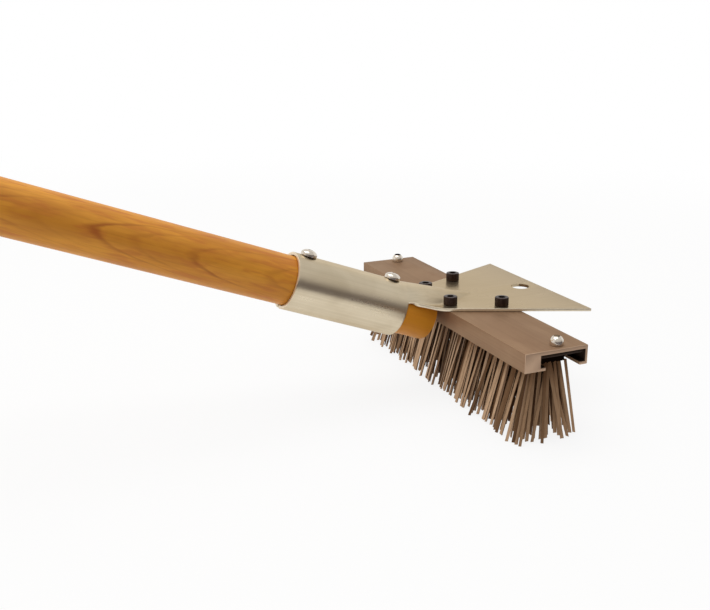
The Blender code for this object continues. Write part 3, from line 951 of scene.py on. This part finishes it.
def wire_template():
    """One flat wire of unit length, cut across twice, and the painted shade of its narrow sides against its
    broad ones.
    """
    deselect()
    bpy.ops.mesh.primitive_cube_add(size=1.0)
    obj = named("wire")
    pick_edges(obj, lambda a, b: abs(a.z - b.z) > 0.5)
    bpy.ops.mesh.subdivide(number_cuts=2)
    leave_edit()
    points = [vertex.co.copy() for vertex in obj.data.vertices]
    faces = [tuple(face.vertices) for face in obj.data.polygons]
    sides = [1.0 if abs(face.normal.x) > 0.5 else WIRE_EDGE_SHADE for face in obj.data.polygons]
    bpy.data.objects.remove(obj, do_unlink=True)
    return points, faces, sides


def end_fan(y):
    """How far a wire's tip splays outwards along the channel, most at the block's two ends."""
    share = max(1 - (BLOCK_HALF - abs(y)) / END_FAN_REACH, 0.0)
    return math.copysign(END_FAN * share * share, y)


def wire_plan(rng):
    """Every wire as foot, tip, tone with painted shade, and turn in degrees, from the middle of the
    channel's top face.
    """
    root = CHANNEL_BOTTOM - NECK_DROP + WIRE_SEAT - HEAD.z
    floor = BLOCK_LOW.z - HEAD.z
    neck_low = MOUTH_REAR + NECK_GAP - HEAD.x
    neck_width = MOUTH_FRONT - MOUTH_REAR - 2 * NECK_GAP
    for station in range(TUFT_STATIONS):
        for row in range(TUFT_ROWS):
            shift = TUFT_STAGGER if row % 2 else -TUFT_STAGGER
            tuft_y = BLOCK_HALF * (2 * (station + 0.5 + shift) / TUFT_STATIONS - 1)
            tuft_x = neck_low + neck_width * (row + 0.5) / TUFT_ROWS
            lean = REAR_LEAN + (FRONT_LEAN - REAR_LEAN) * row / (TUFT_ROWS - 1)
            at_end = station in (0, TUFT_STATIONS - 1)
            # Painted shade: inner rows are darker, end tufts nearly full.
            share = END_TUFT_SHADE if at_end else ROW_SHADES[min(row, TUFT_ROWS - 1 - row)]
            turn = END_TUFT_TURN_DEGREES if at_end else TURN_DEGREES
            for wire in range(WIRES_PER_TUFT):
                spread = wire - (WIRES_PER_TUFT - 1) / 2
                # A shaded copy takes a darker tone as painted shade.
                lit = rng.random() < (MIDDLE_LIT_CHANCE if spread == 0 else SIDE_LIT_CHANCE)
                short = RAGGEDNESS * rng.uniform(0, 1) ** 2 * (0.5 if lit else 1.0)
                drop = root - floor - short
                stray = rng.choice((-STRAY_DEGREES, STRAY_DEGREES)) if rng.random() < STRAY_CHANCE else 0
                sway = math.radians(spread * FAN_DEGREES + stray + rng.gauss(0, SWAY_DEGREES))
                foot = Vector((tuft_x + rng.uniform(-WIRE_SCATTER, WIRE_SCATTER),
                               tuft_y + spread * WIRE_PITCH, root))
                tilt = lean + math.radians(rng.gauss(0, LEAN_DEGREES))
                tip = foot + Vector((drop * math.tan(tilt), drop * math.tan(sway) + end_fan(foot.y), -drop))
                tone = rng.uniform(*(LIT_TONES if lit else SHADED_TONES))
                yield foot, tip, tone * share, rng.gauss(turn, TURN_SPREAD_DEGREES)
    for foot_x, tip_x, tip_y in END_WIRES:
        short = RAGGEDNESS * 0.3 * rng.uniform(0, 1)
        foot = Vector((foot_x, END_WIRE_INSET - BLOCK_HALF, root))
        tip = Vector((tip_x, tip_y, floor + short))
        tone = rng.uniform(*END_WIRE_TONES)
        yield foot, tip, tone, rng.gauss(END_WIRE_TURN_DEGREES, END_WIRE_SPREAD_DEGREES)


def make_wires(finish):
    """Rows of tufts; every wire leans with its row, fans a little and is cut to its own length."""
    rng = random.Random(WIRE_SEED)
    template, template_faces, template_side_shades = wire_template()
    points, faces, tone_and_shade_values, sides = [], [], [], []
    for foot, tip, tone, degrees in wire_plan(rng):
        turn = math.radians(degrees)
        chisel = rng.uniform(-CHISEL_SLOPE, CHISEL_SLOPE)
        width = WIRE_WIDTH * rng.uniform(*WIDTH_SHARES)
        first = len(points)
        for corner in template:
            down = 0.5 - corner.z
            side = corner.x * WIRE_THICKNESS
            wide = corner.y * width
            cut = max(wide * chisel, 0.0) if down > 0.99 else 0.0
            points.append(HEAD + foot.lerp(tip, down) + Vector((
                side * math.cos(turn) - wide * math.sin(turn),
                side * math.sin(turn) + wide * math.cos(turn), cut)))
            # Painted shade at the root, fading out down the wire.
            tone_and_shade_values.append(tone * (ROOT_SHADE + (1 - ROOT_SHADE) * min(down * ROOT_SHADE_FADE, 1.0)))
        faces += [tuple(first + index for index in face) for face in template_faces]
        sides += template_side_shades
    mesh = bpy.data.meshes.new("bristle_wires")
    mesh.from_pydata([tuple(point) for point in points], [], faces)
    # The tones carry painted shade on each point, the sides on each face.
    mesh.attributes.new("wire_tone_and_shade", "FLOAT", "POINT").data.foreach_set("value", tone_and_shade_values)
    mesh.attributes.new("wire_side_shade", "FLOAT", "FACE").data.foreach_set("value", sides)
    obj = bpy.data.objects.new("bristle_wires", mesh)
    bpy.context.scene.collection.objects.link(obj)
    smooth(obj, 30)
    dress(obj, finish, "refill", *BLOCKS, slot="wire_steel")


# Studio
FLOOR_SIZE = 12.0
FLOOR_EDGE = 0.382
FLOOR_EDGE_TURN = math.radians(20.4)
FLOOR_GREY = (0.86, 0.86, 0.86, 1.0)
FLOOR_GLOW = 0.85
FLOOR_GLOW_FROM = 0.5
FLOOR_GLOW_TO = 1.4
WHITE = (1.0, 1.0, 1.0, 1.0)
BACKDROP_COLOUR = (1.0, 0.92, 0.79, 1.0)
NEAR_COLOUR = (1.0, 0.86, 0.92, 1.0)
CEILING_LIGHT = 0.72
BACKDROP_LIGHT = 0.67
NEAR_LIGHT = 0.13
LAMP_OFFSET = Vector((-0.4, 0.1, 1.5))
LAMP_SIZE = 1.4
LAMP_POWER = 13.0


def make_floor():
    """Pale sheet that reads white around the brush and keeps its shadow."""
    deselect()
    bpy.ops.mesh.primitive_plane_add(size=FLOOR_SIZE)
    obj = named("floor")
    out = Vector((math.sin(FLOOR_EDGE_TURN), -math.cos(FLOOR_EDGE_TURN), 0))
    obj.location = out * (FLOOR_EDGE - FLOOR_SIZE / 2) + Vector((0, 0, FLOOR_HEIGHT))
    obj.rotation_euler = (0, 0, FLOOR_EDGE_TURN)
    settle(obj)
    finish = new_finish("pale_floor")
    finish.set(Base_Color=FLOOR_GREY, Roughness=0.9, Specular_IOR_Level=0.0)
    white = finish.node("ShaderNodeEmission", {}, {"Color": WHITE, "Strength": 1.0})
    x, y = finish.place()[:2]
    away = finish.between((x * x + y * y).root(), FLOOR_GLOW_FROM, FLOOR_GLOW_TO)
    share = finish.seen() * (FLOOR_GLOW + away * (1 - FLOOR_GLOW))
    pale = Value(finish, finish.shader.outputs[0])
    finish.show("Material Output", finish.mix_shaders(share, pale, white))
    obj.data.materials.append(finish.owner)


def make_room():
    """A pale room, warm at the back and dim on the near side, that shows white behind the brush."""
    world = bpy.data.worlds.new("studio")
    bpy.context.scene.world = world
    finish = Finish(world)

    def glow(tint, strength):
        return finish.node("ShaderNodeBackground", {}, {"Color": tint, "Strength": strength})

    y, z = finish.axes(finish.node("ShaderNodeTexCoord", output="Generated"))[1:]
    near = finish.between(-y, 0.05, 0.55) * (1.0 - finish.between(z, 0.05, 0.75))
    high = finish.between(z, 0.35, 0.70)
    room = finish.mix_shaders(high, glow(BACKDROP_COLOUR, BACKDROP_LIGHT), glow(WHITE, CEILING_LIGHT))
    room = finish.mix_shaders(near, room, glow(NEAR_COLOUR, NEAR_LIGHT))
    behind = (1.0 - high) * (1.0 - near)
    finish.show("World Output", finish.mix_shaders(finish.seen(behind), room, glow(WHITE, 1.0)))


def make_lamp():
    """A large soft lamp above the brush."""
    data = bpy.data.lights.new("overhead", "AREA")
    data.size = LAMP_SIZE
    data.energy = LAMP_POWER
    lamp = bpy.data.objects.new("overhead", data)
    bpy.context.scene.collection.objects.link(lamp)
    lamp.location = HEAD + LAMP_OFFSET
    lamp.rotation_euler = (-LAMP_OFFSET).to_track_quat("-Z", "Y").to_euler()


def make_camera():
    """The view of the photograph, placed by where it sees the middle of the channel's top."""
    data = bpy.data.cameras.new("camera")
    data.sensor_width = SENSOR_WIDTH
    data.lens = FOCAL_PIXELS * SENSOR_WIDTH / IMAGE_WIDTH
    camera = bpy.data.objects.new("camera", data)
    bpy.context.scene.collection.objects.link(camera)
    ahead = Vector((math.sin(VIEW_YAW), math.cos(VIEW_YAW), 0))
    level_right = Vector((math.cos(VIEW_YAW), -math.sin(VIEW_YAW), 0))
    level_up = Vector((0, 0, 1))
    forward = ahead * math.cos(VIEW_PITCH) - level_up * math.sin(VIEW_PITCH)
    upright = ahead * math.sin(VIEW_PITCH) + level_up * math.cos(VIEW_PITCH)
    right = level_right * math.cos(VIEW_ROLL) + upright * math.sin(VIEW_ROLL)
    up = upright * math.cos(VIEW_ROLL) - level_right * math.sin(VIEW_ROLL)
    place = HEAD - right * HEAD_RIGHT_OF_VIEW - up * HEAD_ABOVE_VIEW - forward * HEAD_DISTANCE
    turn = Matrix((right, up, -forward)).transposed().to_4x4()
    camera.matrix_world = Matrix.Translation(place) @ turn
    bpy.context.scene.camera = camera


def main():
    bpy.context.scene.view_settings.view_transform = "Standard"
    make_camera()
    make_room()
    make_lamp()
    make_floor()
    steel = satin_steel()
    black = black_oxide()
    make_handle(varnished_wood())
    make_bracket(rolled_sheet(), cut_edge_highlight())
    make_channel(drawn_aluminium())
    for node in CAP_SCREWS:
        make_cap_screw(node, black)
    # The far screw's recess is painted black as shade; the near one stays steel.
    for node, recess in zip(END_SCREWS, (steel, black)):
        make_end_screw(node, steel, recess)
    for node, along in zip(HANDLE_SCREWS, HANDLE_SCREW_PLACES):
        make_handle_screw(node, along, steel)
    make_strip(strip_steel())
    make_block(dark_block_and_shade())
    make_wires(flat_wire())


main()
